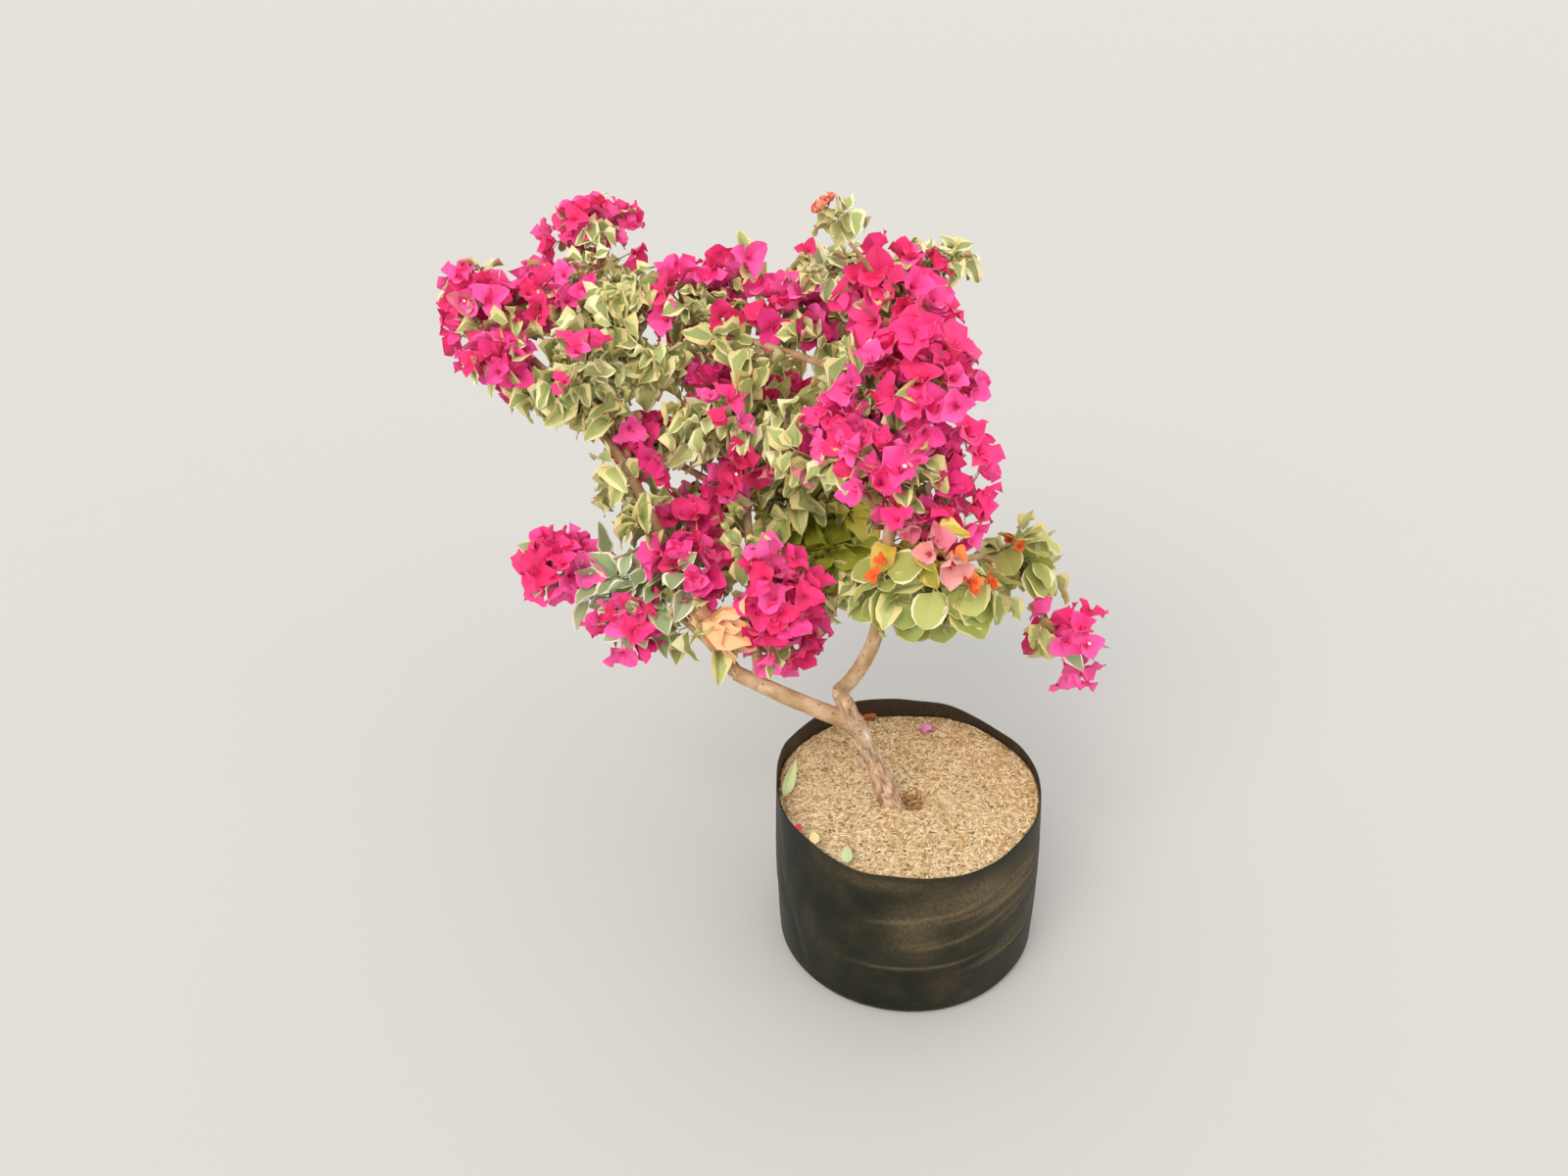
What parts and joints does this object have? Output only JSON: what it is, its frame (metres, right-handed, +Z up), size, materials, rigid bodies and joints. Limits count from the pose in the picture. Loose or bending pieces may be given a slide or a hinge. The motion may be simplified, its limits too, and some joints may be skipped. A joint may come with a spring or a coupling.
{
  "type": "bougainvillea bush",
  "caption": "Potted bougainvillea bush with a leaning forked trunk, hot pink bracts and cream-edged leaves, in a black nursery bag topped with rice hull mulch.",
  "frame": {"origin": "centre of the bag's flat underside, on the surface that the bag stands on", "axes": "+Z up; +Y away from the viewer of the picture, the way the crown leans back; -X towards the side that the trunk and crown lean to"},
  "size_m": [0.8512, 0.7467, 0.9092],
  "materials": {
    "bag": "dusty, creased",
    "soil": "matte",
    "mulch": "matte",
    "bark": "matte",
    "bracts": "papery",
    "leaves": "satin"
  },
  "bodies": {
    "root": {"bag": "bag", "bough_back": "bark", "bough_back_left": "bark", "bough_centre": "bark", "bough_crest": "bark", "bough_far_left": "bark", "bough_kink": "bark", "bough_left": "bark", "bough_left_rising": "bark", "bough_level_left": "bark", "bough_low_left": "bark", "bough_middle": "bark", "bough_middle_rising": "bark", "bough_right": "bark", "bough_right_arm": "bark", "bough_right_tip": "bark", "bough_top_left": "bark", "bough_upright": "bark", "bough_whip": "bark", "flowers_back": "bracts", "flowers_back_left": "bracts", "flowers_centre_left": "bracts", "flowers_column_left": "bracts", "flowers_column_lower": "bracts", "flowers_column_top": "bracts", "flowers_column_upper": "bracts", "flowers_far_left": "bracts", "flowers_far_left_low": "bracts", "flowers_far_left_upper": "bracts", "flowers_hanging": "bracts", "flowers_low": "bracts", "flowers_low_left": "bracts", "flowers_low_tip": "bracts", "flowers_lower_middle": "bracts", "flowers_middle": "bracts", "flowers_middle_crest": "bracts", "flowers_middle_left": "bracts", "flowers_middle_low": "bracts", "flowers_middle_under": "bracts", "flowers_right_tip": "bracts", "flowers_top_left": "bracts", "leaves_back": "leaves", "leaves_back_left": "leaves", "leaves_centre": "leaves", "leaves_centre_bottom": "leaves", "leaves_centre_low": "leaves", "leaves_column_foot": "leaves", "leaves_crest": "leaves", "leaves_crest_right": "leaves", "leaves_left": "leaves", "leaves_left_low": "leaves", "leaves_low_left": "leaves", "leaves_middle_left": "leaves", "leaves_right": "leaves", "leaves_right_tip": "leaves", "leaves_upper_left": "leaves", "leaves_whip": "leaves", "mulch": "mulch", "soil": "soil", "trunk": "bark"}
  },
  "joints": []
}
